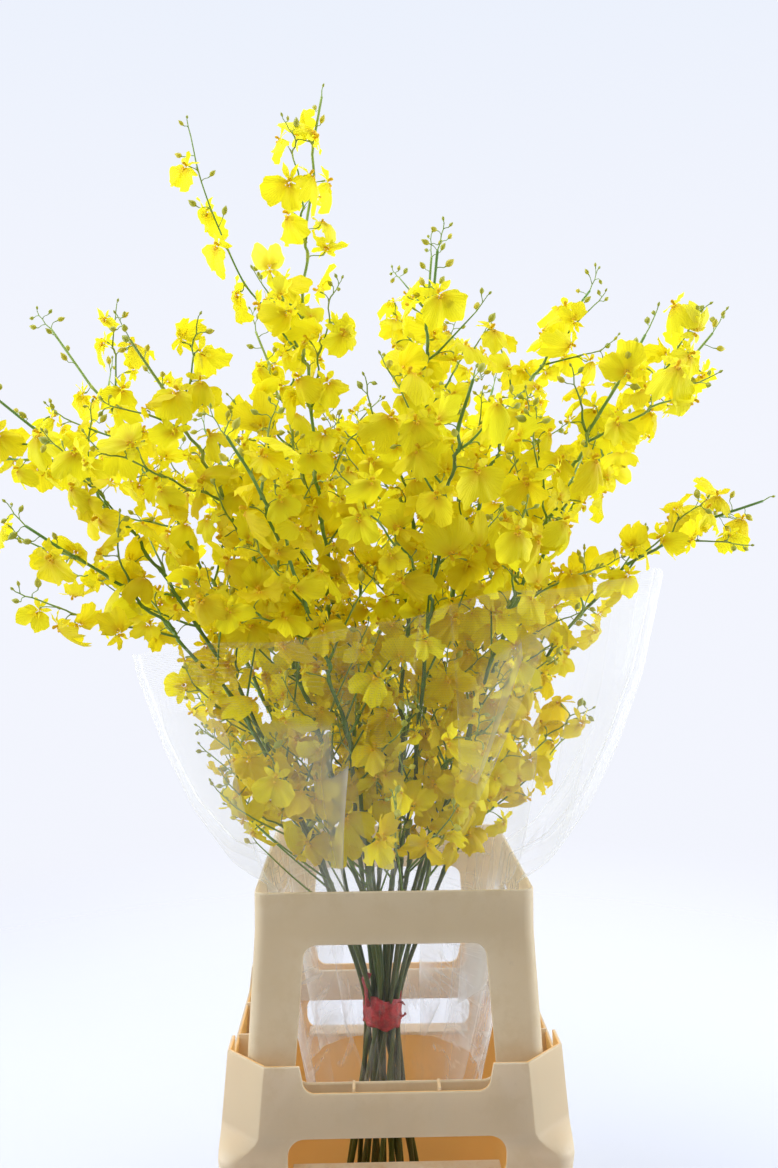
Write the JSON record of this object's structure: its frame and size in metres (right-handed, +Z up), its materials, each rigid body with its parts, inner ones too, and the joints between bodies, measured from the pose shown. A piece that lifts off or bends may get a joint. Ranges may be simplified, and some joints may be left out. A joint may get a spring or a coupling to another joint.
{
  "type": "bunch of oncidium orchid sprays in a flower bucket",
  "caption": "Tied bunch of tall yellow oncidium orchid sprays in a flared clear film sleeve, standing in a square plastic flower bucket with a windowed collar.",
  "frame": {"origin": "centre of the bucket's underside", "axes": "+Z up; the bucket's front wall faces -Y and the bunch spreads widest along X"},
  "size_m": [0.6802, 0.3981, 1.0274],
  "materials": {
    "bucket_plastic": "satin cream plastic",
    "collar_plastic": "satin cream plastic",
    "clear_film": "thin clear film",
    "red_tape": "smooth tape",
    "orchid": "fresh yellow petals on green stems"
  },
  "bodies": {
    "root": {"bucket": "bucket_plastic", "collar": "collar_plastic", "sleeve": "clear_film", "tape_band": "red_tape", "spray_01": "orchid", "spray_02": "orchid", "spray_03": "orchid", "spray_04": "orchid", "spray_05": "orchid", "spray_06": "orchid", "spray_07": "orchid", "spray_08": "orchid", "spray_09": "orchid", "spray_10": "orchid", "spray_11": "orchid", "spray_12": "orchid", "spray_13": "orchid", "spray_14": "orchid", "spray_15": "orchid", "spray_16": "orchid", "spray_17": "orchid", "spray_18": "orchid"}
  },
  "joints": []
}
